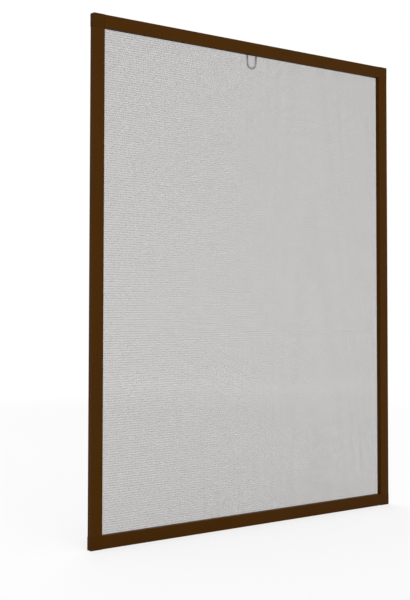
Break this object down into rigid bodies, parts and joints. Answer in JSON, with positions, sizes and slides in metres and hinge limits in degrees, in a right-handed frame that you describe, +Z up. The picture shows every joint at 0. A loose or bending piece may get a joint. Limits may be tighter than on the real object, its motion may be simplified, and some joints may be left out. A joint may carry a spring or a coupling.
{
  "type": "window insect screen",
  "caption": "Clip-in window insect screen: slim brown square-cut aluminium frame with moulded corners, fine grey mesh stretched over its back, steel hooks and a small grey pull loop.",
  "frame": {"origin": "middle of the frame's back plane, which seats on the window frame", "axes": "+X to the right and +Z up as seen from outside the window, +Y from the flat front through the frame towards the room"},
  "size_m": [0.8, 0.03, 1],
  "materials": {
    "frame_coat": "satin powder coat",
    "corner_plastic": "fine moulded grain",
    "mesh_cloth": "woven glass fibre, coated",
    "spline_cord": "matt",
    "loop_plastic": "matt",
    "hook_steel": "zinc plated",
    "screw_steel": "zinc plated"
  },
  "bodies": {
    "root": {"top_rail": "frame_coat", "bottom_rail": "frame_coat", "left_stile": "frame_coat", "right_stile": "frame_coat", "top_left_corner": "corner_plastic", "top_right_corner": "corner_plastic", "bottom_left_corner": "corner_plastic", "bottom_right_corner": "corner_plastic", "insect_mesh": "mesh_cloth", "top_spline": "spline_cord", "bottom_spline": "spline_cord", "left_spline": "spline_cord", "right_spline": "spline_cord", "pull_loop": "loop_plastic", "upper_left_hook": "hook_steel", "upper_right_hook": "hook_steel", "lower_left_hook": "hook_steel", "lower_right_hook": "hook_steel", "hook_screws": "screw_steel"}
  },
  "joints": []
}
